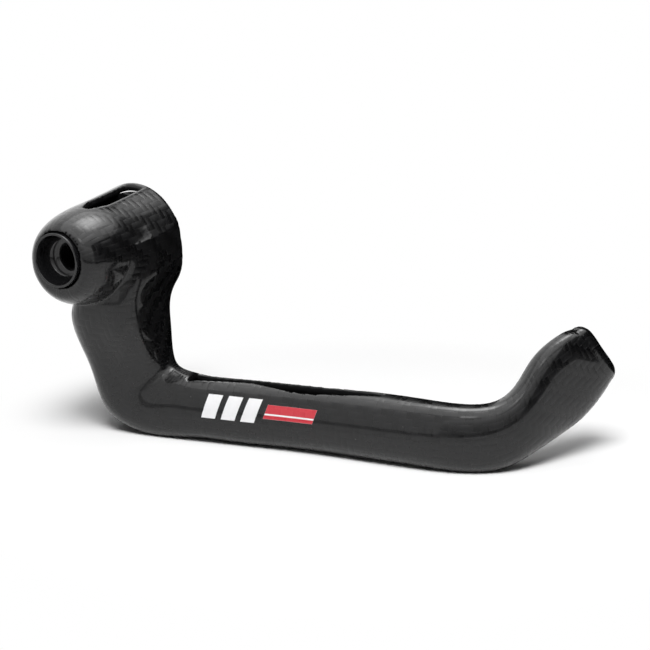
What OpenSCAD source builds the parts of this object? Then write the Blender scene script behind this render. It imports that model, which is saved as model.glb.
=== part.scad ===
// Brake lever guard that bolts to the end of a handlebar.
// +X points forward, +Y inward along the bar, +Z up. The origin is on the bar axis where the seat
// meets the handlebar. All sizes are in millimetres.

/* [Bulb] */
// length of the bulb along the bar axis
bulb_len = 38; // [35:0.5:41]
// diameter of the bulb at the handlebar
bulb_d = 34; // [32:0.5:36]
// diameter of the bulb where the dome starts
dome_d = 30; // [28:0.5:32]
// how far from the handlebar the dome starts
dome_from = 20; // [17:0.5:23]
// how far the domed end hangs down, in degrees
bulb_droop = 2.5; // [0:0.5:4]
// wall thickness of the bulb
bulb_wall = 2.4; // [2:0.1:3]
// diameter of the hole in the domed end
nose_d = 17.2; // [16:0.2:18.4]

/* [Neck and arm] */
// distance from the bar axis down to the underside
drop = 57; // [54:0.5:62]
// width of the neck seen from the outside
neck_w = 29; // [26:0.5:31]
// height of the arm
arm_h = 19; // [17:0.5:21]
// depth of the arm, from its outer to its inner face
arm_d = 16.2; // [14:0.2:17]
// wall thickness of the neck and arm
skin = 2.2; // [1.8:0.1:2.6]
// how much of the rounded underside is dressed flat
flat_cut = 0.4; // [0.2:0.1:0.8]

/* [Paddle] */
// how far forward the paddle starts
reach = 111; // [105:1:118]
// width of the paddle
paddle_w = 25.4; // [22:0.2:28]
// thickness of the paddle
paddle_t = 8.8; // [7:0.2:10]
// angle of the paddle's end to the forward direction
paddle_turn = 57; // [50:1:64]
// angle that the paddle's end climbs
paddle_rise = 28; // [22:1:32]

/* [Slots] */
// width of the slot in the top of the bulb
bulb_slot_w = 5.4; // [4:0.2:7]
// length of the slot in the top of the bulb
bulb_slot_l = 22.5; // [18:0.5:25]
// width of the channel in the top of the arm, to which both of its lips keep
arm_slot_w = 7; // [5:0.2:7.6]
// length of the channel in the top of the arm
arm_slot_l = 61; // [55:1:64]

/* [Insert] */
// diameter of the bolt hole
bolt_d = 6.5; // [6:0.1:8.5]
// outside diameter of the insert's tube
tube_d = 13; // [12:0.5:15]
// diameter of the dish in the outer end
dish_d = 15; // [14:0.2:16]
// depth of the dish
dish_deep = 5.5; // [3:0.5:6.5]
// thickness of the flange at the handlebar
flange_t = 5; // [4:0.5:6]

/* [Hidden] */
$fn = 72;
ring_pts = 36;
hollow_pts = 28;
steps = 3;
floor_z = -drop;
mid = arm_h / 2 + flat_cut / 2;
arm_z = floor_z + mid - flat_cut;
deep = arm_d / 2;
flange_r = bulb_d / 2 - bulb_wall - 0.2;
shoulder_r = flange_r - 1.4;
nose_y = -bulb_len - 0.8;
usual_drop = 57;
usual_reach = 111;
// how far the neck's foot moves from its usual place when the drop changes
low = usual_drop - drop;
// forward shift of all that is past the middle of the arm
ahead = reach - usual_reach;
// longer than any part, for cuts that pass right through
through = 2 * reach;

// Every station is x, y, z, then the heading and the climb in degrees, then half of the depth and
// half of the height of the section, then how square its upper and its lower half are, and how
// much narrower its upper edge is than its middle.
neck = [
    [2.6, -13.5, 2, 0, -90, 12.6, neck_w / 2 - 3, 2.3, 2.3, 0],
    [3.8, -13.9, -8, 0, -90, 13.9, neck_w / 2 - 0.3, 2.4, 2.4, 0],
    [4.3, -14, -15, 0, -90, 14, neck_w / 2 - 0.1, 2.5, 2.5, 0.02],
    [4.8, -13.8, -25 + low / 3, 2, -88, 12.8, neck_w / 2 - 0.4, 2.5, 2.5, 0.04],
    [6.1, -12.6, -34.6 + low * 2 / 3, 4, -72, 11.2, neck_w / 2 - 1.1, 2.5, 2.5, 0.08],
    [9.4, -11.4, -42.7 + low, 6, -52, 10, neck_w / 2 - 0.7, 2.6, 2.5, 0.12],
    [17.4, -10.3, arm_z + 0.7, 8, -31, deep + 0.7, mid + 2.5, 2.7, 2.3, 0.15]
];
arm = [
    [28, -8.8, arm_z, 11, 0, deep, mid, 2.7, 2.1, 0.17],
    [42, -5.2, arm_z, 12, 0, deep, mid, 2.7, 2.1, 0.17],
    [56 + ahead / 4, -1.8, arm_z, 12, 0, deep, mid, 2.7, 2.1, 0.17],
    [70 + ahead / 2, 0.9, arm_z, 10, 0, deep, mid + 0.1, 2.7, 2.1, 0.17],
    [reach * 3 / 4, 2.7, arm_z + 0.1, 8, 0, deep - 0.1, mid + 0.2, 2.7, 2.1, 0.17],
    [reach * 7 / 8, 4.6, arm_z + 0.1, 8, 0, deep - 0.4, mid + 0.2, 2.7, 2.1, 0.17],
    [reach, 7.4, arm_z, 18, 0, deep - 1.2, mid + 0.3, 2.6, 2.2, 0.14]
];
tip_t = paddle_t / 2;
tip_w = paddle_w / 2;
paddle = [
    [reach + 9.7, 13.6, floor_z + 10.3, 38, 3, tip_t + 1.8, mid + 0.4, 2.6, 2.4, 0.08],
    [reach + 15, 20.9, floor_z + 15.3, 50, 13, tip_t + 1.1, tip_w - 1.9, 2.7, 2.6, 0.03],
    [reach + 18.3, 27.9, floor_z + 20.7, 56, 20, tip_t + 0.6, tip_w + 0.2, 2.8, 2.6, 0],
    [reach + 22.7, 36, floor_z + 26, paddle_turn, paddle_rise - 7, tip_t + 0.2, tip_w + 0.1, 2.9, 2.6, 0],
    [reach + 25.2, 41.8, floor_z + 30.1, paddle_turn, paddle_rise + 9, tip_t - 0.2, tip_w - 2.3, 2.9, 2.5, 0]
];
path = concat(neck, arm, paddle);
last = len(path) - 1;

// A smooth curve through the stations.
function blend(a, b, c, d, u) =
    (2 * b + (c - a) * u + (2 * a - 5 * b + 4 * c - d) * u * u
    + (3 * b - a - 3 * c + d) * u * u * u) / 2;
function between(list, i, u) =
    blend(list[max(i - 1, 0)], list[i], list[i + 1], list[min(i + 2, len(list) - 1)], u);
function smoothed(list) = concat(
    [for (i = [0 : len(list) - 2]) for (j = [0 : steps - 1]) between(list, i, j / steps)],
    [list[len(list) - 1]]);

// Directions of a station: along the path, across it and up it.
function along(s) = [cos(s[4]) * cos(s[3]), cos(s[4]) * sin(s[3]), sin(s[4])];
function across(s) = [-sin(s[3]), cos(s[3]), 0];
function upward(s) = [-sin(s[4]) * cos(s[3]), -sin(s[4]) * sin(s[3]), cos(s[4])];

// A rounded end: the section shrinks as it moves forward.
function rounded_end(s, grow) = [for (a = [25, 50, 70, 85])
    let (p = [s[0], s[1], s[2]] + along(s) * grow * sin(a))
    [p[0], p[1], p[2], s[3], s[4], s[5] - grow * (1 - cos(a)), s[6] - 1.6 * grow * (1 - cos(a)),
        s[7], s[8], s[9]]];

function soft(v, power) = sign(v) * pow(abs(v), power);
function ring(s, count) = [for (k = [0 : count - 1])
    let (a = 360 * k / count, square = sin(a) > 0 ? s[7] : s[8])
    let (u = soft(cos(a), 2 / square), v = soft(sin(a), 2 / square))
    [s[0], s[1], s[2]] + across(s) * s[5] * u * (1 - s[9] * v) + upward(s) * s[6] * v];
function thinner(s, t) = [s[0], s[1], s[2], s[3], s[4], s[5] - t, s[6] - t, s[7], s[8], s[9]];

// A closed solid through a list of rings with the same number of points.
module skinned(rings) {
    n = len(rings[0]);
    m = len(rings);
    points = [for (r = rings) for (p = r) p];
    side_a = [for (i = [0 : m - 2]) for (k = [0 : n - 1])
        [i * n + k, (i + 1) * n + (k + 1) % n, i * n + (k + 1) % n]];
    side_b = [for (i = [0 : m - 2]) for (k = [0 : n - 1])
        [i * n + k, (i + 1) * n + k, (i + 1) * n + (k + 1) % n]];
    start_cap = [for (k = [1 : n - 2]) [0, k, k + 1]];
    end_cap = [for (k = [1 : n - 2]) [(m - 1) * n, (m - 1) * n + k + 1, (m - 1) * n + k]];
    polyhedron(points, concat(side_a, side_b, start_cap, end_cap), convexity = 8);
}

// The neck, arm and paddle as one swept body.
module limb() {
    skinned([for (s = concat(smoothed(path), rounded_end(path[last], 2.2))) ring(s, ring_pts)]);
}

// The space inside the neck, the arm and the start of the paddle.
module limb_hollow() {
    inner = [for (s = concat(neck, arm, [paddle[0], paddle[1]])) thinner(s, skin)];
    skinned([for (s = smoothed(inner)) ring(s, hollow_pts)]);
}

// Half outline of the bulb: a slight cone and then a dome that ends at the nose hole.
function bulb_outline(base_r, dome_r, length, hole_r) = concat(
    [[0, 2], [base_r, 2], [base_r, 0]],
    [for (a = [0 : 7.5 : 90])
        [hole_r + (dome_r - hole_r) * pow(cos(a), 0.95), -dome_from - (length - dome_from) * pow(sin(a), 0.95)]],
    [[0, -length]]);

module along_bar() {
    rotate([-90, 0, 0]) children();
}

// Turned outline with the radius first and the place along the bar axis second.
module turned(outline) {
    along_bar() rotate_extrude() polygon(outline);
}

module bulb_body() {
    rotate([bulb_droop, 0, 0]) turned(bulb_outline(bulb_d / 2, dome_d / 2, bulb_len, nose_d / 2));
}

module bulb_hollow() {
    rotate([bulb_droop, 0, 0])
        turned(bulb_outline(shoulder_r, dome_d / 2 - bulb_wall, bulb_len - bulb_wall, nose_d / 2));
    along_bar() translate([0, 0, -flange_t]) cylinder(r = flange_r + 0.2, h = flange_t + 3);
    along_bar() translate([0, 0, -bulb_len - 4]) cylinder(d = nose_d, h = 12);
}

module soft_outline(points) {
    offset(r = 0.7) offset(delta = -0.7) polygon(points);
}

// The slot in the top of the bulb. Its end on the dome comes to a point.
module bulb_slot() {
    near = -2.5;
    far = near - bulb_slot_l;
    half = bulb_slot_w / 2;
    shoulder = far + 5.5;
    outline = [
        [-half, near], [half, near], [half, shoulder], [half - 1.6, far], [half - 2.7, far], [-half, shoulder]
    ];
    translate([0.5, 0, bulb_len / 5]) linear_extrude(height = bulb_d / 2) soft_outline(outline);
}

// The channel in the top of the arm: how far along it, then where its outer and inner lips lie as
// parts of its width.
lips = [
    [0, -0.5, 0.36], [0.06, -0.36, 0.5], [0.18, -0.31, 0.52], [0.31, -0.25, 0.52], [0.39, -0.3, 0.52],
    [0.47, -0.43, 0.52], [0.58, -0.5, 0.52], [0.68, -0.47, 0.52], [0.83, -0.33, 0.44], [0.97, -0.08, 0.22],
    [1, 0, 0.12]
];
outer_lip = [for (l = lips) [l[0], l[1]]];
inner_lip = [for (l = lips) [l[0], l[2]]];

// The channel follows the arm and leaves its lower half whole.
module arm_slot() {
    first = 27;
    run = [for (i = [0 : len(arm) - 2]) for (j = [0 : 5]) between(arm, i, j / 6)];
    inside = [for (s = run) if (s[0] > first && s[0] < first + arm_slot_l) s];
    rim = function (s, table) [s[0], s[1]]
        + arm_slot_w * lookup((s[0] - first) / arm_slot_l, table) * [across(s)[0], across(s)[1]];
    outer = [for (s = inside) rim(s, outer_lip)];
    inner = [for (i = [len(inside) - 1 : -1 : 0]) rim(inside[i], inner_lip)];
    translate([0, 0, arm_z]) linear_extrude(height = arm_h) soft_outline(concat(outer, inner));
}

module guard_shell() {
    color([0.05, 0.05, 0.055]) difference() {
        union() {
            difference() {
                bulb_body();
                translate([-through / 2, 0, -through / 2]) cube(through);
            }
            limb();
        }
        bulb_hollow();
        limb_hollow();
        bulb_slot();
        arm_slot();
        translate([-through / 2, -through / 2, floor_z - through]) cube(through);
    }
}

// The turned insert: a flange that seats on the handlebar, a tube and a dished nose with a rolled lip.
module bar_end_insert() {
    lip = (nose_d - 0.8) / 2;
    dish = dish_d / 2;
    hole = bolt_d / 2;
    tube = tube_d / 2;
    color([0.1, 0.1, 0.11]) turned(concat(
        [[hole, 0], [flange_r, 0], [flange_r, -flange_t], [tube, -flange_t]],
        [[tube, nose_y + dish_d * 2 / 3], [lip, nose_y + dish_d * 0.45]],
        [for (a = [0 : 15 : 180])
            [(lip + dish) / 2 + (lip - dish) / 2 * cos(a), nose_y - (lip - dish) / 2 * sin(a)]],
        [[hole, nose_y + dish_deep]]));
}

guard_shell();
bar_end_insert();
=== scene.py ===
import bpy
import math
import numpy as np
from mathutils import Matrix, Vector


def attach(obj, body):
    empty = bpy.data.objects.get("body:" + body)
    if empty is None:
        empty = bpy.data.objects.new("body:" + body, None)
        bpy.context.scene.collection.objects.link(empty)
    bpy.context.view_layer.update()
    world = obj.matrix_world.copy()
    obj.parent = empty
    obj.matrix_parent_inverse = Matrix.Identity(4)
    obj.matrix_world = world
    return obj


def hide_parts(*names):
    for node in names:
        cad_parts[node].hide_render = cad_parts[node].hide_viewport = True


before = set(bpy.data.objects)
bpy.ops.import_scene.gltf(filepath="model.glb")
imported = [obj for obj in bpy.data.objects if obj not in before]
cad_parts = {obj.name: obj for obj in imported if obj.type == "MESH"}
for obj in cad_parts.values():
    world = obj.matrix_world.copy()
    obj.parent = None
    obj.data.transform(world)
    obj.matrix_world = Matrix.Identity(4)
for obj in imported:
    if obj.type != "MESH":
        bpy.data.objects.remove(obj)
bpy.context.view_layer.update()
print("frame loaded")

scene = bpy.context.scene
mm = 0.001

shot = {
    "eye": (0.36813, -0.46041, 0.12887),   # metres, in the part's own frame
    "azimuth": 33.0,
    "elevation": 15.0,
    "lens": 107.17,
    "sensor": 36.0,
    "reach": 50.0,
}


def aimedCamera(o):
    data = bpy.data.cameras.new("photoCamera")
    cam = bpy.data.objects.new("photoCamera", data)
    scene.collection.objects.link(cam)
    data.lens = o["lens"]
    data.sensor_width = o["sensor"]
    data.clip_end = o["reach"]
    a, e = math.radians(o["azimuth"]), math.radians(o["elevation"])
    away = Vector((math.sin(a) * math.cos(e), -math.cos(a) * math.cos(e), math.sin(e)))
    cam.location = o["eye"]
    cam.rotation_euler = away.to_track_quat("Z", "Y").to_euler()
    scene.camera = cam


aimedCamera(shot)
print("camera set")

# The guard's form is one field in mm, less than nought in the material: the bulb, the limb swept
# along the rows below, the hollow inside both and the two slots.
# Each row is x, y, z, heading, climb, half depth, half height, squareness of the upper and lower
# half, then how much narrower the upper edge is than the middle.
limb = {
    "rows": [
        (2.6, -13.5, 2, 4, -90, 12.6, 11.5, 3.0, 3.0, 0),
        (6.9, -12, -8, 4, -90, 13.9, 9.8, 3.4, 3.4, 0),
        (4.5, -13.8, -15, 4, -90, 14, 11.7, 3.8, 3.4, 0.02),
        (4.5, -14, -25, 5, -88, 12.7, 12.8, 3.8, 3.4, 0.04),
        (7.2, -12, -35.8, 8, -72, 11.2, 11.4, 3.1, 3.2, 0.15),
        (10.1, -11, -44, 10, -52, 9.8, 13, 2.35, 2.7, 0.28),
        (16.8, -10.7, -47.2, 11, -31, 8.6, 11.9, 2.5, 2.6, 0.22),
        (28, -8.8, -47.6, 11, 0, 8.1, 9.7, 2.7, 2.5, 0.17),
        (42, -5.2, -47.6, 12, 0, 8.1, 9.7, 2.7, 2.5, 0.17),
        (56, -1.8, -47.6, 12, 0, 8.1, 9.7, 2.7, 2.35, 0.17),
        (70, 0.9, -47.5, 10, 0, 8.1, 9.8, 2.7, 2.15, 0.17),
        (84, 2.8, -47.4, 8, 0, 8.0, 9.9, 2.7, 2.15, 0.17),
        (98, 4.7, -47.4, 8, 0, 7.7, 9.9, 2.7, 2.15, 0.17),
        (111, 7.4, -47.7, 18, 0, 6.9, 10.0, 2.6, 2.2, 0.14),
        (120.7, 13.6, -46.7, 38, 3, 6.2, 10.1, 2.6, 2.4, 0.08),
        (126, 20.9, -41.7, 50, 13, 5.5, 10.8, 2.7, 2.6, 0.03),
        (129.3, 27.9, -36.3, 56, 20, 5.0, 12.9, 2.8, 2.6, 0),
        (133.7, 36, -31, 57, 21, 4.6, 12.8, 2.9, 2.6, 0),
        (136.0, 41.2, -26.9, 57, 37, 4.2, 10.4, 2.9, 2.4, 0),
    ],
    "ease": 2.2,          # how softly the path runs through the rows
    "endRound": 3.4,
    "floor": -57.0,       # what the guard stands on
    "floorRound": 0.8,
}

bulb = {
    "mouthRadius": 17.0,
    "domeRadius": 15.0,
    "domeFrom": 20.0,
    "length": 38.0,
    "noseRadius": 8.6,
    "domeEase": 4.0,      # how softly the straight part runs into the dome
    "droop": 2.5,
    "fullness": 2.1,
    "mouthRound": 1.2,
    "crease": 1.0,        # blend to the neck under the dome
    "flare": 9.0,         # what the blend gains towards the arm's side and the bar
    "flareX": (3.0, 11.0),     # where that starts, and how far until it is whole
    "flareY": (-25.0, 12.0),
    "weaveRadius": 15.5,
}

shell = {
    "wall": 2.3,
    "cell": 0.72,         # spacing of the skin's points
    "skinFrom": (-19.0, -40.5, -59.0),
    "skinTo": (144.0, 51.0, 19.0),
    "innerShare": 0.45,   # deeper than this share of the wall is the inner face
    "bulbLip": 0.9,       # rounding of the slots' edges
    "armLip": 0.7,
    "seatRadius": 14.6,
    "seatDepth": 5.2,
    "seatEdge": 0.3,
    "noseFrom": -28.0,
    "noseEdge": 0.5,
    "bulbSlot": [
        (-2.2, -2.5), (3.2, -2.5), (3.2, -19.5), (1.6, -24.9), (0.5, -24.9), (-2.2, -19.5),
    ],
    "bulbSlotWiden": 0.5,
    "bulbSlotZone": (6.0, 9.0),                    # above this, and this far to either side
    "channelWiden": 0.3,
    "channelZone": (20.0, 98.0, -47.7, -30.0),     # from and to in x, then in z
    "neckAbove": -44.0,
    # how far along the channel, then its outer and inner lip from the middle of the arm
    "channelFrom": 27.0,
    "channelLength": 61.0,
    "channel": [
        (0, -3.5, 2.5), (0.06, -2.4, 3.4), (0.18, -1.9, 3.6), (0.31, -1.45, 3.6), (0.39, -2, 3.6),
        (0.47, -3, 3.6), (0.58, -3.5, 3.6), (0.68, -3.3, 3.6), (0.83, -2.3, 3), (0.97, -0.55, 1.5),
        (1, 0, 0.8),
    ],
}


farOff = 50.0             # mm, a distance that never matters
tiny = 1e-4
edgeLimit = 1.2           # past the section's edge the narrowing stays as it is there


def splineThrough(t, y, tq):
    # a natural cubic spline through the rows y at the places t
    n = len(t)
    h = np.diff(t)
    a, b = np.zeros((n, n)), np.zeros((n, y.shape[1]))
    a[0, 0] = a[-1, -1] = 1
    for i in range(1, n - 1):
        a[i, i - 1:i + 2] = h[i - 1], 2 * (h[i - 1] + h[i]), h[i]
        b[i] = 6 * ((y[i + 1] - y[i]) / h[i] - (y[i] - y[i - 1]) / h[i - 1])
    m = np.linalg.solve(a, b)
    k = np.clip(np.searchsorted(t, tq, side="right") - 1, 0, n - 2)
    hk = h[k][:, None]
    u = (tq - t[k])[:, None] / hk
    v = 1 - u
    return v * y[k] + u * y[k + 1] + ((v**3 - v) * m[k] + (u**3 - u) * m[k + 1]) * hk**2 / 6


def easedRows(rows, ease):
    # the rows one mm apart, on a softened spline
    y = np.array(rows, float)
    t = np.concatenate([[0], np.cumsum(np.linalg.norm(np.diff(y[:, :3], axis=0), axis=1))])
    d = splineThrough(t, y, np.linspace(0, t[-1], int(round(t[-1])) + 1))
    w = int(4 * ease)
    g = np.exp(-0.5 * (np.arange(-w, w + 1) / ease) ** 2)
    g /= g.sum()
    wide = np.concatenate([2 * d[0] - d[w:0:-1], d, 2 * d[-1] - d[-2:-w - 2:-1]])
    return np.stack([np.convolve(wide[:, c], g, "valid") for c in range(d.shape[1])], 1)


pathRows = easedRows(limb["rows"], limb["ease"])
pathLast = len(pathRows) - 1


def rowAt(s):
    i = np.clip(np.floor(s).astype(int), 0, pathLast - 1)
    u = (s - i)[:, None]
    p1, p2 = pathRows[i], pathRows[i + 1]
    p0 = np.where((i == 0)[:, None], 2 * p1 - p2, pathRows[np.maximum(i - 1, 0)])
    p3 = np.where((i == pathLast - 1)[:, None], 2 * p2 - p1, pathRows[np.minimum(i + 2, pathLast)])
    return 0.5 * (2 * p1 + (p2 - p0) * u + (2 * p0 - 5 * p1 + 4 * p2 - p3) * u**2
                  + (3 * p1 - p0 - 3 * p2 + p3) * u**3)


def axesOf(r):
    h, e = np.radians(r[:, 3]), np.radians(r[:, 4])
    zero = np.zeros_like(h)
    t = np.stack([np.cos(e) * np.cos(h), np.cos(e) * np.sin(h), np.sin(e)], 1)
    a = np.stack([-np.sin(h), np.cos(h), zero], 1)
    b = np.stack([-np.sin(e) * np.cos(h), -np.sin(e) * np.sin(h), np.cos(e)], 1)
    return t, a, b


def alongLimb(p):
    # the place on the path whose section plane holds each point
    batch, rounds = 50000, 5
    nudge, longest, flattest = 0.02, 3, 0.25
    c = pathRows[:, :3]
    c2 = (c**2).sum(1)
    s = np.empty(len(p))
    for k in range(0, len(p), batch):
        s[k:k + batch] = np.argmin(c2[None] - 2 * p[k:k + batch] @ c.T, axis=1)

    def ahead(s):
        r = rowAt(s)
        return ((p - r[:, :3]) * axesOf(r)[0]).sum(1)

    for _ in range(rounds):
        here = np.clip(s, 0, pathLast - nudge)
        h = ahead(here)
        slope = np.minimum((ahead(here + nudge) - h) / nudge, -flattest)
        s = np.clip(here - np.clip(h / slope, -longest, longest), 0, pathLast)
    return s


def ovalDistance(x, y, a, b, power):
    # about how far outside a squared oval of half sizes a and b
    qx, qy = np.maximum(np.abs(x) / a, tiny), np.maximum(np.abs(y) / b, tiny)
    g = (qx**power + qy**power) ** (1 / power)
    gx, gy = (qx / g) ** (power - 1) / a, (qy / g) ** (power - 1) / b
    return (g - 1) / np.sqrt(gx * gx + gy * gy)


def smoothMin(a, b, k):
    h = np.maximum(k - np.abs(a - b), 0) / k
    return np.minimum(a, b) - h**3 * k / 6


def smoothMax(a, b, k):
    return -smoothMin(-a, -b, k)


def limbDistance(p):
    s = alongLimb(p)
    r = rowAt(s)
    t, a, b = axesOf(r)
    q = p - r[:, :3]
    x, y, z = (q * a).sum(1), (q * b).sum(1), (q * t).sum(1)
    narrow = 1 - r[:, 9] * np.clip(y / r[:, 6], -edgeLimit, edgeLimit)
    d = ovalDistance(x / narrow, y, r[:, 5], r[:, 6], np.where(y > 0, r[:, 7], r[:, 8]))
    # the paddle's far end is rounded over
    k, atEnd = limb["endRound"], 0.01
    e = np.where(s >= pathLast - atEnd, z - k, -farOff)
    outside = np.hypot(np.maximum(d + k, 0), np.maximum(e + k, 0))
    d = outside + np.minimum(np.maximum(d + k, e + k), 0) - k
    d = np.where(s <= atEnd, np.maximum(d, -z), d)
    return d, s, x, y


def bulbPlace(p):
    # across, up and along the bulb's own axis, which droops
    a = math.radians(bulb["droop"])
    y = p[:, 1] * math.cos(a) + p[:, 2] * math.sin(a)
    z = p[:, 2] * math.cos(a) - p[:, 1] * math.sin(a)
    return p[:, 0], z, -y


def bulbDistance(p):
    x, z, h = bulbPlace(p)
    o = bulb
    ease = o["domeEase"]
    ramp = ease * np.logaddexp(0, (o["domeFrom"] - h) / ease)
    spread = (o["mouthRadius"] - o["domeRadius"]) / o["domeFrom"]
    a = o["domeRadius"] - o["noseRadius"] + spread * ramp
    q = np.maximum((np.hypot(x, z) - o["noseRadius"]) / a, tiny)
    b = o["length"] - o["domeFrom"]
    v = np.maximum((h - o["domeFrom"]) / b, tiny)
    n = o["fullness"]
    g = (q**n + v**n) ** (1 / n)
    d = (g - 1) / np.hypot((q / g) ** (n - 1) / a, (v / g) ** (n - 1) / b)
    return smoothMax(d, p[:, 1], o["mouthRound"])


def solidDistance(p):
    d = limbDistance(p)[0]
    (fromX, runX), (fromY, runY) = bulb["flareX"], bulb["flareY"]
    inward = np.clip((p[:, 0] - fromX) / runX, 0, 1)
    barward = np.clip((p[:, 1] - fromY) / runY, 0, 1)
    d = smoothMin(bulbDistance(p), d, bulb["crease"] + bulb["flare"] * inward**2 * barward)
    return smoothMax(d, limb["floor"] - p[:, 2], limb["floorRound"])


def channelOutline():
    # the channel's edge in plan, along the arm and not up the neck
    first, length = shell["channelFrom"], shell["channelLength"]
    lips = np.array(shell["channel"])
    x, z = pathRows[:, 0], pathRows[:, 2]
    rows = pathRows[(x > first) & (x < first + length) & (z < shell["neckAbove"])][::2]
    part = (rows[:, 0] - first) / length
    h = np.radians(rows[:, 3])
    side = np.stack([-np.sin(h), np.cos(h)], 1)
    outer = rows[:, :2] + side * np.interp(part, lips[:, 0], lips[:, 1])[:, None]
    inner = rows[:, :2] + side * np.interp(part, lips[:, 0], lips[:, 2])[:, None]
    return np.concatenate([outer, inner[::-1]])


def outlineDistance(p, outline):
    # signed distance in plan to a closed outline, less than nought inside it
    best = np.full(len(p), np.inf)
    inside = np.zeros(len(p), bool)
    for a, b in zip(outline, np.roll(outline, -1, axis=0)):
        e = b - a
        w = p - a
        u = np.clip((w @ e) / (e @ e), 0, 1)
        best = np.minimum(best, ((w - u[:, None] * e) ** 2).sum(1))
        crosses = (a[1] > p[:, 1]) != (b[1] > p[:, 1])
        if e[1] != 0:
            inside ^= crosses & (w[:, 0] < w[:, 1] * e[0] / e[1])
    d = np.sqrt(best)
    return np.where(inside, -d, d)


bulbSlotOutline = np.array(shell["bulbSlot"], float)
channelEdge = channelOutline()


def shellDistance(p):
    o = shell
    d = solidDistance(p)
    d = np.maximum(d, -d - o["wall"])
    # the seat for the insert's flange and the hole in the nose
    rho = np.hypot(p[:, 0], p[:, 2])
    seat = np.maximum(rho - o["seatRadius"], -o["seatDepth"] - p[:, 1])
    nose = np.maximum(rho - bulb["noseRadius"], p[:, 1] - o["noseFrom"])
    d = smoothMax(d, -seat, o["seatEdge"])
    d = smoothMax(d, -nose, o["noseEdge"])
    # each slot cuts only the wall that it is in
    x, z = p[:, 0], p[:, 2]
    (above, aside), (xLow, xHigh, zLow, zHigh) = o["bulbSlotZone"], o["channelZone"]
    inTop = (z > above) & (np.abs(x) < aside)
    inArm = (z > zLow) & (z < zHigh) & (x > xLow) & (x < xHigh)
    for zone, edge, widen, lip in ((inTop, bulbSlotOutline, o["bulbSlotWiden"], o["bulbLip"]),
                                   (inArm, channelEdge, o["channelWiden"], o["armLip"])):
        near = np.where(zone)[0]
        k = np.full(len(p), farOff)
        k[near] = outlineDistance(p[near, :2], edge) - widen
        d = smoothMax(d, -k, lip * 2)
    return d


def slopeOf(f, p, e=0.03):
    # the gradient of f at each point
    g = np.empty_like(p)
    for i in range(3):
        o = np.zeros(3)
        o[i] = e
        g[:, i] = (f(p + o) - f(p - o)) / (2 * e)
    return g


def seated(f, p, rounds=3):
    # moves points onto the surface where f is nought
    longest, flattest = 0.5, 0.2
    for _ in range(rounds):
        g = slopeOf(f, p)
        step = f(p)[:, None] * g / np.maximum((g * g).sum(1), flattest)[:, None]
        p = p - np.clip(step, -longest, longest)
    return p


def netOver(f, lo, hi, cell):
    # quads over the surface where f changes sign, sampled only near the surface
    coarse, batch = 4, 200000
    spare, least = 1.1, 0.6     # room for the distance being rough, the second in mm
    n = (np.ceil((np.array(hi) - lo) / (cell * coarse)).astype(int)) * coarse
    m = n // coarse
    cx = [lo[i] + (np.arange(m[i]) + 0.5) * cell * coarse for i in range(3)]
    c = np.stack(np.meshgrid(*cx, indexing="ij"), -1).reshape(-1, 3)
    dc = f(c)
    near = np.where(np.abs(dc) < cell * coarse * spare + least)[0]
    field = np.repeat(np.repeat(np.repeat(dc.reshape(m), coarse, 0), coarse, 1), coarse, 2)
    field = np.pad(field, ((0, 1), (0, 1), (0, 1)), mode="edge")
    k = np.stack(np.unravel_index(near, m), 1) * coarse
    r = np.arange(coarse + 1)
    off = np.stack(np.meshgrid(r, r, r, indexing="ij"), -1).reshape(-1, 3)
    stride = np.array([(n[1] + 1) * (n[2] + 1), n[2] + 1, 1])
    idx = np.unique((k[:, None] + off[None]).reshape(-1, 3) @ stride)
    ijk = np.stack(np.unravel_index(idx, n + 1), 1)
    p = np.array(lo) + ijk * cell
    field[tuple(ijk.T)] = np.concatenate([f(p[a:a + batch]) for a in range(0, len(p), batch)])

    # one point in each cell that the surface crosses, in the middle of its crossings
    inside = field < 0
    both = (0, 1)
    corners = [inside[a:n[0] + a, b:n[1] + b, c:n[2] + c] for a in both for b in both for c in both]
    total = sum(x.astype(np.int8) for x in corners)
    cellOn = (total > 0) & (total < 8)
    cells = np.argwhere(cellOn)
    number = -np.ones(n, int)
    number[cellOn] = np.arange(len(cells))
    place = np.zeros((len(cells), 3))
    count = np.zeros(len(cells))
    for axis in range(3):
        others = [i for i in range(3) if i != axis]
        for a in both:
            for b in both:
                o = np.zeros(3, int)
                o[others[0]], o[others[1]] = a, b
                q = cells + o
                e = q.copy()
                e[:, axis] += 1
                va, vb = field[tuple(q.T)], field[tuple(e.T)]
                cross = (va < 0) != (vb < 0)
                u = np.where(cross, va / np.where(cross, va - vb, 1), 0)
                spot = q.astype(float)
                spot[:, axis] += u
                place += np.where(cross[:, None], spot, 0)
                count += cross
    place = np.array(lo) + place / count[:, None] * cell

    # one quad round each edge that the surface crosses
    quads = []
    for axis in range(3):
        o1, o2 = [i for i in range(3) if i != axis]
        sl = [slice(1, n[i]) for i in range(3)]
        sl[axis] = slice(0, n[axis])
        sl2 = list(sl)
        sl2[axis] = slice(1, n[axis] + 1)
        a, b = inside[tuple(sl)], inside[tuple(sl2)]
        hit = np.argwhere(a != b)
        start = a[tuple(hit.T)]
        hit[:, o1] += 1
        hit[:, o2] += 1
        ring = []
        for d1, d2 in ((0, 0), (-1, 0), (-1, -1), (0, -1)):
            q = hit.copy()
            q[:, o1] += d1
            q[:, o2] += d2
            ring.append(number[tuple(q.T)])
        ring = np.stack(ring, 1)
        flip = start if axis != 1 else ~start
        quads.append(np.where(flip[:, None], ring, ring[:, ::-1]))
    return place, np.concatenate(quads)


def meshOf(name, points, faces):
    mesh = bpy.data.meshes.new(name)
    mesh.from_pydata([tuple(p) for p in points], [], [tuple(f) for f in faces])
    mesh.update()
    obj = bpy.data.objects.new(name, mesh)
    scene.collection.objects.link(obj)
    return obj


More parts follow.
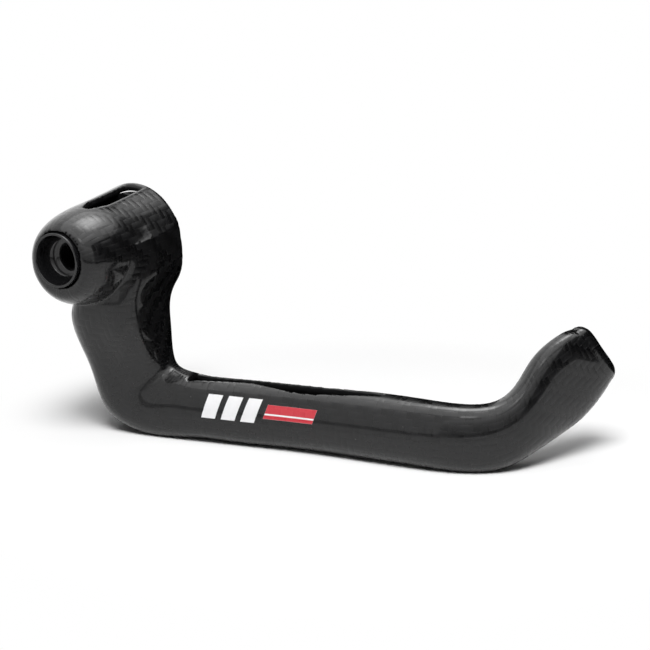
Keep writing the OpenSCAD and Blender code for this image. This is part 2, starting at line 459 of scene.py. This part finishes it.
def smoothed(mesh):
    mesh.polygons.foreach_set("use_smooth", [True] * len(mesh.polygons))


def aroundLimb(s, x, y):
    # the way round the section from the middle of its outer face, in mm, and the whole way round
    steps = 120
    t = np.linspace(-math.pi, math.pi, steps + 1)
    rows = pathRows
    n = np.where(np.sin(t)[None] > 0, rows[:, 7:8], rows[:, 8:9])
    v = np.sign(np.sin(t)) * np.abs(np.sin(t)) ** (2 / n)
    u = np.sign(np.cos(t)) * np.abs(np.cos(t)) ** (2 / n) * (1 - rows[:, 9:10] * v)
    px, py = u * rows[:, 5:6], v * rows[:, 6:7]
    run = np.cumsum(np.hypot(np.diff(px), np.diff(py)), axis=1)
    run = np.concatenate([np.zeros((len(rows), 1)), run], 1)
    r = rowAt(s)
    qy = y / r[:, 6]
    qx = x / (1 - r[:, 9] * np.clip(qy, -edgeLimit, edgeLimit)) / r[:, 5]
    half = np.where(qy > 0, r[:, 7], r[:, 8]) / 2
    angle = np.arctan2(np.sign(qy) * np.abs(qy) ** half, np.sign(qx) * np.abs(qx) ** half)
    k = np.clip((angle + math.pi) / (2 * math.pi) * steps, 0, steps - 1e-6)
    i, j = np.clip(s.astype(int), 0, len(rows) - 1), k.astype(int)
    way = run[i, j] + (run[i, j + 1] - run[i, j]) * (k - j)
    whole = run[i, -1]
    return np.where(way > whole / 2, whole - way, -way), whole


def weavePlaces(p):
    # where the cloth lies: along and round the limb, and along and round the bulb, in mm
    d, s, x, y = limbDistance(p)
    way, whole = aroundLimb(s, x, y)
    bx, bz, h = bulbPlace(p)
    radius = bulb["weaveRadius"]
    turn = np.arctan2(bx, bz) * radius
    wholeTurn = np.full(len(p), 2 * math.pi * radius)
    return (np.stack([s, way], 1), whole), (np.stack([h, turn], 1), wholeTurn), bulbDistance(p) < d


def layWeave(obj, p, quads):
    limbPart, bulbPart, onBulb = weavePlaces(p)
    loops = quads.ravel()
    pick = np.repeat(onBulb[quads].mean(1) > 0.5, 4)
    place = np.where(pick[:, None], bulbPart[0][loops], limbPart[0][loops])
    whole = np.where(pick, bulbPart[1][loops], limbPart[1][loops])
    # a face over the seam of the cloth takes all its corners from one side
    across = place[:, 1].reshape(-1, 4)
    overSeam = across.max(1) - across.min(1) > whole.reshape(-1, 4)[:, 0] / 2
    torn = overSeam[:, None] & (across < 0)
    place[:, 1] += np.where(torn.ravel(), whole, 0)
    layer = obj.data.uv_layers.new(name="weave")
    layer.data.foreach_set("uv", place.astype(np.float32).ravel())


def guardSkin():
    points, quads = netOver(shellDistance, shell["skinFrom"], shell["skinTo"], shell["cell"])
    print("skin net:", len(points), "points,", len(quads), "quads")
    points = seated(shellDistance, points)
    obj = meshOf("guardSkin", points * mm, quads)
    layWeave(obj, points, quads)
    inner = (solidDistance(points) < -shell["wall"] * shell["innerShare"]).astype(np.float32)
    dull = obj.data.attributes.new("innerFace", "FLOAT", "POINT")
    dull.data.foreach_set("value", inner)
    normals = slopeOf(shellDistance, points)
    normals /= np.linalg.norm(normals, axis=1)[:, None]
    smoothed(obj.data)
    obj.data.normals_split_custom_set_from_vertices([tuple(v) for v in normals])
    return obj


guardSkinPiece = guardSkin()
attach(guardSkinPiece, "root")
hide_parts("guard_shell")
print("guard skin made")

insert = {
    "hole": 3.25,
    "flange": 14.4,
    "flangeThick": 5.0,
    "tube": 6.5,
    "nose": -38.8,
    "lipOuter": 8.2,
    "rimPast": 0.3,       # how far the rim stands past the nose
    "dish": 7.5,
    "dishDeep": 5.5,
    "dishFrom": 1.0,      # the bowl starts this far in from the nose
    "dishShort": 0.2,     # and ends this much short of the full depth
    "bowlOut": 2.0,       # its foot, out from the hole
    "bowlIn": 0.4,        # its head, in from the rim
    "bowlArc": (84, 8, -8),
    "tubeFrom": -28.8,
    "lipFrom": -32.05,
    "edge": 0.3,          # rounding of the turned edges
    "lipEdge": 0.5,
    "rimEdge": 0.28,
    "rootRound": 0.8,
    "tubeEdge": 0.4,
    "holeRound": 1.9,
    "turns": 128,
    "sharpFrom": 28.0,    # degrees
}


def filleted(corners, steps=4):
    # corners are radius, place along the axis and rounding
    out = []
    n = len(corners)
    for i in range(n):
        a, b, c = (np.array(corners[(i + k) % n][:2], float) for k in (-1, 0, 1))
        r = corners[i][2]
        if r == 0:
            out.append(b)
            continue
        u, v = (a - b) / np.linalg.norm(a - b), (c - b) / np.linalg.norm(c - b)
        for k in range(steps + 1):
            t = k / steps
            out.append(b + u * r * (1 - t) ** 2 + v * r * t**2)
    return out


def turnedInsert(o):
    lip, hole, dish, edge = o["lipOuter"], o["hole"], o["dish"], o["edge"]
    rim, mouth = o["nose"] - o["rimPast"], o["nose"] + o["dishFrom"]
    bottom = o["nose"] + o["dishDeep"] - o["dishShort"]
    foot, head = hole + o["bowlOut"], dish - o["bowlIn"]
    bowl = [(foot + (head - foot) * math.sin(a), mouth + (bottom - mouth) * math.cos(a), 0)
            for a in (math.radians(d) for d in range(*o["bowlArc"]))]
    profile = filleted([
        (hole, 0, edge), (o["flange"], 0, edge), (o["flange"], -o["flangeThick"], edge),
        (o["tube"], -o["flangeThick"], o["rootRound"]), (o["tube"], o["tubeFrom"], o["tubeEdge"]),
        (lip, o["lipFrom"], o["lipEdge"]), (lip, rim, o["rimEdge"]), (dish, rim, edge),
        *bowl,
        (hole, bottom, o["holeRound"]),
    ])
    turns = o["turns"]
    m = len(profile)
    points = [(r * math.cos(a), y, r * math.sin(a))
              for a in (2 * math.pi * k / turns for k in range(turns)) for r, y in profile]
    faces = []
    for k in range(turns):
        here, beyond = k * m, (k + 1) % turns * m
        for i in range(m):
            j = (i + 1) % m
            faces.append((here + i, here + j, beyond + j, beyond + i))
    obj = meshOf("turnedInsert", np.array(points) * mm, faces)
    smoothed(obj.data)
    obj.data.set_sharp_from_angle(angle=math.radians(o["sharpFrom"]))
    return obj


turnedInsertPiece = turnedInsert(insert)
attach(turnedInsertPiece, "root")
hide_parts("bar_end_insert")
print("turned insert made")


def newLook(name):
    m = bpy.data.materials.new(name)
    m.use_nodes = True
    return m, m.node_tree, m.node_tree.nodes["Principled BSDF"]


def newGroup(name, inputs, outputs):
    tree = bpy.data.node_groups.new(name, "ShaderNodeTree")
    for title, kind, value in inputs:
        socket = tree.interface.new_socket(title, in_out="INPUT", socket_type=kind)
        if value is not None:
            socket.default_value = value
    for title, kind in outputs:
        tree.interface.new_socket(title, in_out="OUTPUT", socket_type=kind)
    return tree, tree.nodes.new("NodeGroupInput").outputs, tree.nodes.new("NodeGroupOutput").inputs


def feed(tree, socket, value):
    if isinstance(value, bpy.types.NodeSocket):
        tree.links.new(value, socket)
    else:
        socket.default_value = value


def addNode(tree, kind, inputs=(), **settings):
    node = tree.nodes.new(kind)
    for key, value in settings.items():
        setattr(node, key, value)
    for key, value in dict(inputs).items():
        feed(tree, node.inputs[key], value)
    return node


def calc(tree, operation, *values, clamp=False):
    node = addNode(tree, "ShaderNodeMath", operation=operation, use_clamp=clamp)
    for socket, value in zip(node.inputs, values):
        feed(tree, socket, value)
    return node.outputs[0]


def blended(tree, part, a, b):
    node = addNode(tree, "ShaderNodeMix", data_type="FLOAT")
    feed(tree, node.inputs[0], part)
    feed(tree, node.inputs[2], a)
    feed(tree, node.inputs[3], b)
    return node.outputs[0]


def blendedColour(tree, part, a, b):
    node = addNode(tree, "ShaderNodeMix", data_type="RGBA")
    feed(tree, node.inputs[0], part)
    feed(tree, node.inputs[6], a)
    feed(tree, node.inputs[7], b)
    return node.outputs[2]


def eased(tree, value, low, high, toLow=0.0, toHigh=1.0):
    given = {"Value": value, "From Min": low, "From Max": high, "To Min": toLow, "To Max": toHigh}
    node = addNode(tree, "ShaderNodeMapRange", given, interpolation_type="SMOOTHSTEP")
    return node.outputs["Result"]


def noise(tree, place, scale, detail=2.0, rough=0.5):
    given = {"Vector": place, "Scale": scale, "Detail": detail, "Roughness": rough}
    return addNode(tree, "ShaderNodeTexNoise", given).outputs[0]


def splitUp(tree, vector):
    return addNode(tree, "ShaderNodeSeparateXYZ", {"Vector": vector}).outputs


def objectPlace(tree):
    return addNode(tree, "ShaderNodeTexCoord").outputs["Object"]


def lengthOf(tree, x, y):
    squares = calc(tree, "ADD", calc(tree, "POWER", x, 2.0), calc(tree, "POWER", y, 2.0))
    return calc(tree, "SQRT", squares)


def bumped(tree, height, distance, strength=1.0):
    given = {"Height": height, "Distance": distance * mm, "Strength": strength}
    return addNode(tree, "ShaderNodeBump", given).outputs[0]


def seenRays(tree):
    # 1 for the camera, for reflections and for what shows through
    path = addNode(tree, "ShaderNodeLightPath").outputs
    through = calc(tree, "MAXIMUM", path["Is Glossy Ray"], path["Is Transmission Ray"])
    return calc(tree, "MAXIMUM", path["Is Camera Ray"], through)


def grouped(tree, group, inputs=()):
    node = tree.nodes.new("ShaderNodeGroup")
    node.node_tree = group
    for key, value in dict(inputs).items():
        feed(tree, node.inputs[key], value)
    return node.outputs


weave = {
    "lanes": 9.0,         # of fibres to a tow
    "shuffle": 7.3,       # no two tows have the same fibres
    "apart": 4.0,         # nor do the two ways of the cloth
    "streaks": (1.4, 3.0),     # scale and detail
    "crown": 0.6,         # less is a squarer tow
    "rise": 0.5,          # share of the height that comes and goes along a tow
}


def twillWeave(o):
    # 2 by 2 twill: which tow is on top, how high it stands and the streaks of its fibres, which the
    #               carbon finish uses as painted sheen
    t, given, out = newGroup(
        "twillWeave",
        [("Place", "NodeSocketVector", None), ("Tow Width", "NodeSocketFloat", 2.0)],
        [("Warp", "NodeSocketFloat"), ("Height", "NodeSocketFloat"), ("Fibre Sheen", "NodeSocketFloat")])
    split = splitUp(t, given["Place"])
    u = calc(t, "DIVIDE", split["X"], given["Tow Width"])
    v = calc(t, "DIVIDE", split["Y"], given["Tow Width"])
    column, row = calc(t, "FLOOR", u), calc(t, "FLOOR", v)
    inU, inV = calc(t, "FRACT", u), calc(t, "FRACT", v)
    step = calc(t, "FLOORED_MODULO", calc(t, "ADD", column, row), 4.0)
    warp = calc(t, "LESS_THAN", step, 1.5)     # over two, under two
    along = blended(t, warp, inU, inV)
    across = blended(t, warp, inV, inU)
    passed = calc(t, "MULTIPLY", calc(t, "ADD", calc(t, "FLOORED_MODULO", step, 2.0), along), 0.5)
    arch = calc(t, "SINE", calc(t, "MULTIPLY", passed, math.pi))
    crown = calc(t, "POWER", calc(t, "SINE", calc(t, "MULTIPLY", across, math.pi)), o["crown"])
    t.links.new(warp, out["Warp"])
    rise = calc(t, "MULTIPLY_ADD", arch, o["rise"], 1 - o["rise"])
    t.links.new(calc(t, "MULTIPLY", crown, rise), out["Height"])
    # the fibres run along their tow, and their streaks stand for painted sheen
    tow = calc(t, "MULTIPLY", blended(t, warp, row, column), o["shuffle"])
    lane = calc(t, "ADD", calc(t, "MULTIPLY", across, o["lanes"]), tow)
    fibre = {"X": lane, "Y": passed, "Z": calc(t, "MULTIPLY", warp, o["apart"])}
    streak = addNode(t, "ShaderNodeCombineXYZ", fibre).outputs[0]
    t.links.new(noise(t, streak, *o["streaks"]), out["Fibre Sheen"])
    return t


wear = {
    "cells": 420.0,       # a metre, each of which may hold a speck
    "speckSize": (0.02, 0.10),
    "speckChance": (0.90, 0.97),
    "patches": (4.0, 0.6),     # detail and roughness
    "rubbed": (0.48, 0.72),
}


def dustAndWear(o):
    # sparse specks and soft rubbed patches
    t, given, out = newGroup(
        "dustAndWear",
        [("Place", "NodeSocketVector", None), ("Specks", "NodeSocketFloat", 0.5),
         ("Patch Size", "NodeSocketFloat", 60.0)],
        [("Speck", "NodeSocketFloat"), ("Rubbed", "NodeSocketFloat")])
    sown = {"Vector": given["Place"], "Scale": o["cells"]}
    cells = addNode(t, "ShaderNodeTexVoronoi", sown).outputs
    speck = eased(t, cells["Distance"], *o["speckSize"], 1.0, 0.0)
    lot = addNode(t, "ShaderNodeSeparateColor", {"Color": cells["Color"]}).outputs[0]
    chance = eased(t, lot, *o["speckChance"])
    sparse = calc(t, "MULTIPLY", speck, chance)
    t.links.new(calc(t, "MULTIPLY", sparse, given["Specks"]), out["Speck"])
    patches = noise(t, given["Place"], given["Patch Size"], *o["patches"])
    t.links.new(eased(t, patches, *o["rubbed"]), out["Rubbed"])
    return t


def stripeStart(o):
    # how far along the limb the stripes start, on the arm and not up the neck
    onNeck = pathRows[:, 2] > o["neckAbove"]
    return float(np.argmin(np.abs(pathRows[:, 0] - o["startX"]) + farOff * 2 * onNeck))


def sideStripes(o):
    # slanted bars and a slanted block on the arm's outer face, in mm along and round the arm
    t, given, out = newGroup(
        "sideStripes",
        [("Place", "NodeSocketVector", None)],
        [("Mask", "NodeSocketFloat"), ("Colour", "NodeSocketColor")])
    split = splitUp(t, given["Place"])
    up = split["Y"]
    fromStart = calc(t, "SUBTRACT", split["X"], stripeStart(o))
    along = calc(t, "SUBTRACT", fromStart, calc(t, "MULTIPLY", up, o["slant"]))

    def between(value, low, high):
        a = eased(t, value, low - o["blur"], low + o["blur"])
        return calc(t, "MULTIPLY", a, eased(t, value, high - o["blur"], high + o["blur"], 1.0, 0.0))

    pitch = o["barsLength"] / o["bars"]
    bar = between(calc(t, "FLOORED_MODULO", along, pitch), o["blur"], pitch * o["barShare"])
    bars = calc(t, "MULTIPLY", calc(t, "MULTIPLY", bar, between(along, 0, o["barsLength"])),
                between(up, o["low"], o["high"]))
    start = o["barsLength"] + o["gap"]
    block = calc(t, "MULTIPLY", between(along, start, start + o["blockLength"]),
                 between(up, o["blockLow"], o["blockHigh"]))
    line = calc(t, "MULTIPLY", block, between(up, *o["line"]))
    colour = blendedColour(t, block, o["white"], o["red"])
    t.links.new(blendedColour(t, line, colour, o["white"]), out["Colour"])
    t.links.new(calc(t, "MAXIMUM", bars, block), out["Mask"])
    return t


weaveGroup = twillWeave(weave)
wearGroup = dustAndWear(wear)


def wornAt(tree, where, o):
    given = {"Place": where, "Specks": o["specks"], "Patch Size": o["patchSize"]}
    return grouped(tree, wearGroup, given)


stripes = {
    "startX": 33.5,       # mm, their lower left corner
    "neckAbove": -40.0,
    "slant": 0.30,
    "low": -0.9,
    "high": 6.4,
    "blockLow": 0.6,
    "blockHigh": 5.0,
    "barsLength": 18.6,
    "bars": 3,
    "barShare": 0.72,
    "blockLength": 16.0,
    "gap": 0.6,
    "line": (1.8, 2.3),   # the thin white line through the block
    "blur": 0.07,
    "white": (0.80, 0.80, 0.81, 1),
    "red": (0.52, 0.035, 0.05, 1),
}

carbonLook = {
    "towWidth": 2.0,      # mm
    # the weft's lighter tone and the lighter fibre streaks are painted sheen of the fibres; the
    # near-black under them is the cloth's own
    "warpTone": (0.0018, 0.0018, 0.002, 1),
    "weftSheenTone": (0.003, 0.003, 0.0033, 1),
    "fibreSheenTone": (0.009, 0.009, 0.0095, 1),
    "fibreSheenShare": 0.5,
    "innerTone": (0.006, 0.006, 0.0065, 1),
    "speckTone": (0.16, 0.16, 0.155, 1),
    "specks": 0.35,
    "patchSize": 45.0,
    "weftGrain": 0.38,    # roughness of the cloth, and what rubbing and a speck add
    "warpGrain": 0.27,
    "innerGrain": 0.62,
    "rubbedGrain": 0.08,
    "speckGrain": 0.3,
    "clothGloss": 0.22,
    "innerCoat": 0.05,
    "speckCoat": 0.5,     # what a speck takes from the coat
    "coatIor": 1.33,
    "coatRough": 0.06,
    "weaveDepth": 0.09,   # mm
    "peel": 0.0025,       # mm, the slow waves of the clear coat
    "peelScale": 160.0,
}


def clearCoatedCarbon(o):
    m, t, s = newLook("clearCoatedCarbon")
    place = addNode(t, "ShaderNodeUVMap", uv_map="weave").outputs[0]
    where = objectPlace(t)
    inner = addNode(t, "ShaderNodeAttribute", attribute_name="innerFace").outputs["Fac"]
    cloth = grouped(t, weaveGroup, {"Place": place, "Tow Width": o["towWidth"]})
    worn = wornAt(t, where, o)
    mark = grouped(t, sideStripes(stripes), {"Place": place})
    outer = calc(t, "SUBTRACT", 1.0, inner)
    # painted sheen: weft tows lighter than warp tows and lighter fibre streaks, over the cloth's
    # own near-black
    tow = blendedColour(t, cloth["Warp"], o["weftSheenTone"], o["warpTone"])
    fibres = calc(t, "MULTIPLY", cloth["Fibre Sheen"], o["fibreSheenShare"])
    tow = blendedColour(t, fibres, tow, o["fibreSheenTone"])
    tow = blendedColour(t, inner, tow, o["innerTone"])
    tow = blendedColour(t, calc(t, "MULTIPLY", mark["Mask"], outer), tow, mark["Colour"])
    tow = blendedColour(t, worn["Speck"], tow, o["speckTone"])
    t.links.new(tow, s.inputs["Base Color"])
    grain = blended(t, cloth["Warp"], o["weftGrain"], o["warpGrain"])
    grain = blended(t, inner, grain, o["innerGrain"])
    grain = calc(t, "MULTIPLY_ADD", worn["Rubbed"], o["rubbedGrain"], grain)
    grain = calc(t, "MULTIPLY_ADD", worn["Speck"], o["speckGrain"], grain)
    t.links.new(grain, s.inputs["Roughness"])
    s.inputs["Specular IOR Level"].default_value = o["clothGloss"]
    coatLoss = calc(t, "MULTIPLY", worn["Speck"], o["speckCoat"])
    coat = calc(t, "SUBTRACT", blended(t, inner, 1.0, o["innerCoat"]), coatLoss)
    t.links.new(coat, s.inputs["Coat Weight"])
    s.inputs["Coat IOR"].default_value = o["coatIor"]
    s.inputs["Coat Roughness"].default_value = o["coatRough"]
    weaveHeight = calc(t, "MULTIPLY", cloth["Height"], calc(t, "SUBTRACT", 1.0, mark["Mask"]))
    t.links.new(bumped(t, weaveHeight, o["weaveDepth"]), s.inputs["Normal"])
    t.links.new(bumped(t, noise(t, where, o["peelScale"], 1.0), o["peel"]), s.inputs["Coat Normal"])
    return m


guardSkinPiece.data.materials.append(clearCoatedCarbon(carbonLook))
print("carbon finish made")


anodised = {
    "tone": (0.006, 0.006, 0.0065, 1),
    "wornTone": (0.10, 0.10, 0.105, 1),
    "specks": 0.3,
    "speckShare": 0.6,
    "patchSize": 120.0,
    "ringPitch": 0.16,    # mm between the tool's marks
    "ringDepth": 0.002,
    "ringStrength": 0.5,
    "shades": (0.8, 2.0),      # scale and detail, from ring to ring
    "rough": 0.06,
    "shadeRough": 0.08,
    "rubbedRough": 0.08,
}


def turningMarks(o):
    # fine rings round the axis, uneven from one to the next
    t, given, out = newGroup(
        "turningMarks",
        [("Place", "NodeSocketVector", None), ("Pitch", "NodeSocketFloat", 0.2)],
        [("Height", "NodeSocketFloat"), ("Shade", "NodeSocketFloat")])
    split = splitUp(t, given["Place"])
    outward = lengthOf(t, split["X"], split["Z"])
    way = calc(t, "ADD", outward, split["Y"])     # out from the axis and along it
    phase = calc(t, "DIVIDE", calc(t, "MULTIPLY", way, 1 / mm), given["Pitch"])
    rings = addNode(t, "ShaderNodeCombineXYZ", {"X": phase}).outputs[0]
    t.links.new(calc(t, "SINE", calc(t, "MULTIPLY", phase, 2 * math.pi)), out["Height"])
    t.links.new(noise(t, rings, *o["shades"]), out["Shade"])
    return t


def blackAnodised(o):
    m, t, s = newLook("blackAnodised")
    where = objectPlace(t)
    marks = grouped(t, turningMarks(o), {"Place": where, "Pitch": o["ringPitch"]})
    worn = wornAt(t, where, o)
    specks = calc(t, "MULTIPLY", worn["Speck"], o["speckShare"])
    t.links.new(blendedColour(t, specks, o["tone"], o["wornTone"]), s.inputs["Base Color"])
    rough = calc(t, "MULTIPLY_ADD", marks["Shade"], o["shadeRough"], o["rough"])
    rough = calc(t, "MULTIPLY_ADD", worn["Rubbed"], o["rubbedRough"], rough)
    t.links.new(rough, s.inputs["Roughness"])
    t.links.new(bumped(t, marks["Height"], o["ringDepth"], o["ringStrength"]), s.inputs["Normal"])
    return m


turnedInsertPiece.data.materials.append(blackAnodised(anodised))
print("insert finish made")

studio = {
    "floorTone": 0.96,
    "floorHalf": 3.0,
    "floorRough": 0.9,
    "middle": (0.08, 0.01),
    "farFrom": 0.09,     # metres from the middle where the floor starts to turn plain white
    "farTo": 0.13,
    "fill": 0.08,         # the world's light on surfaces
}

plainWhite = (1, 1, 1, 1)
plainBlack = (0, 0, 0, 1)


def plate(name, w, h, z=0.0):
    return meshOf(name, [(-w, -h, z), (w, -h, z), (w, h, z), (-w, h, z)], [(0, 1, 2, 3)])


def whiteFloor(o):
    # lit and shaded near the guard, and plain white further off to whatever sees it
    obj = plate("whiteFloor", o["floorHalf"], o["floorHalf"], limb["floor"] * mm)
    m, t, s = newLook("paleFloor")
    s.inputs["Roughness"].default_value = o["floorRough"]
    s.inputs["Specular IOR Level"].default_value = 0.0
    s.inputs["Emission Color"].default_value = plainWhite
    split = splitUp(t, objectPlace(t))
    middleX, middleY = o["middle"]
    dx, dy = calc(t, "SUBTRACT", split["X"], middleX), calc(t, "SUBTRACT", split["Y"], middleY)
    far = eased(t, lengthOf(t, dx, dy), o["farFrom"], o["farTo"])
    shown = calc(t, "MULTIPLY", far, seenRays(t))
    t.links.new(shown, s.inputs["Emission Strength"])
    pale = (o["floorTone"],) * 3 + (1,)
    t.links.new(blendedColour(t, shown, pale, plainBlack), s.inputs["Base Color"])
    obj.data.materials.append(m)


whiteFloor(studio)

# Cards and flags that only the reflections see: where they stand, what they face (None lies flat),
# their width and height, and their tone from foot to head, or from edge to middle when flat.
cards = {
    "backSheet": ((-0.02, 0.29, -0.0565), None, (0.30, 0.52), [(0, 0)]),
    "sideSheet": ((0.39, 0.36, -0.0562), None, (0.52, 0.50), [(0, 0)]),
    "backdropFlag": ((0.19, 0.55, 0.30), (0.19, 0, 0.30), (1.03, 0.72), [(0, 0)]),
    "paddleFlag": ((0.63, 0.14, 0.25), (0.136, 0.042, 0.25), (0.62, 0.62), [(0, 0)]),
    "cameraCard": (
        (0.62, -0.60, 0.30), (0.11, 0, 0.30), (1.16, 0.72),
        [(0, 0.03), (0.08, 0.06), (0.15, 0.5), (0.35, 0.65), (0.6, 0.95), (1, 1.7)]),
    "frontStrip": ((-0.10, -0.60, -0.036), (-0.10, 0, -0.036), (0.9, 0.042), [(0, 0.2)]),
    "hotPanel": ((0.02, 0.25, 0.795), None, (0.56, 0.48), [(0, 3.6), (0.55, 8.8), (1, 11)]),
    "keyPanel": ((0.32, -0.47, 0.70), (0.10, 0, -0.04), (0.14, 0.14), [(0, 5)]),
    "ceilingPanel": ((0.05, 0, 0.80), None, (1.2, 1.2), [(0, 2.2)]),
}


def reflectionCard(name, place, aim, size, tones):
    w, h = size[0] / 2, size[1] / 2
    obj = plate(name, w, h)
    obj.location = place
    if aim is not None:
        obj.rotation_euler = (Vector(aim) - Vector(place)).to_track_quat("Z", "Y").to_euler()
    m, t, s = newLook(name + "Tone")
    s.inputs["Base Color"].default_value = plainBlack
    s.inputs["Specular IOR Level"].default_value = 0.0
    brightest = max(tone for _, tone in tones)
    s.inputs["Emission Strength"].default_value = brightest
    if len(tones) > 1:
        split = splitUp(t, objectPlace(t))
        if aim is None:
            out = lengthOf(t, calc(t, "DIVIDE", split["X"], w), calc(t, "DIVIDE", split["Y"], h))
            part = calc(t, "SUBTRACT", 1.0, out, clamp=True)
        else:
            part = calc(t, "DIVIDE", calc(t, "ADD", split["Y"], h), 2 * h)
        ramp = addNode(t, "ShaderNodeValToRGB", {"Fac": part})
        while len(ramp.color_ramp.elements) < len(tones):
            ramp.color_ramp.elements.new(0.5)
        for element, (at, tone) in zip(ramp.color_ramp.elements, tones):
            element.position = at
            element.color = (tone / brightest,) * 3 + (1,)
        t.links.new(ramp.outputs[0], s.inputs["Emission Color"])
    else:
        s.inputs["Emission Color"].default_value = plainWhite
    obj.data.materials.append(m)
    obj.visible_camera = False
    obj.visible_diffuse = False
    obj.visible_transmission = False
    obj.visible_shadow = False


for title, card in cards.items():
    reflectionCard(title, *card)


# Soft lamps: where they are, what they face, their size and their watts.
lamps = {
    "overheadSoftbox": ((0.05, 0.0, 0.80), (0.06, 0, 0), (1.15, 1.15), 2.6),
    "keySoftbox": ((0.30, -0.38, 0.78), (0.10, 0, -0.04), (0.42, 0.42), 8.8),
}


def softbox(name, place, aim, size, power):
    data = bpy.data.lights.new(name, "AREA")
    data.shape = "RECTANGLE"
    data.size, data.size_y = size
    data.energy = power
    obj = bpy.data.objects.new(name, data)
    obj.location = place
    away = Vector(place) - Vector(aim)
    obj.rotation_euler = away.to_track_quat("Z", "Y").to_euler()
    scene.collection.objects.link(obj)
    obj.visible_camera = False
    obj.visible_glossy = False


for title, lamp in lamps.items():
    softbox(title, *lamp)


def studioWorld(o):
    world = bpy.data.worlds.new("studioWorld")
    scene.world = world
    world.use_nodes = True
    t = world.node_tree
    background = t.nodes["Background"]
    t.links.new(blended(t, seenRays(t), o["fill"], 1.0), background.inputs["Strength"])
    background.inputs["Color"].default_value = plainWhite


studioWorld(studio)
scene.view_settings.view_transform = "Standard"
print("studio made")
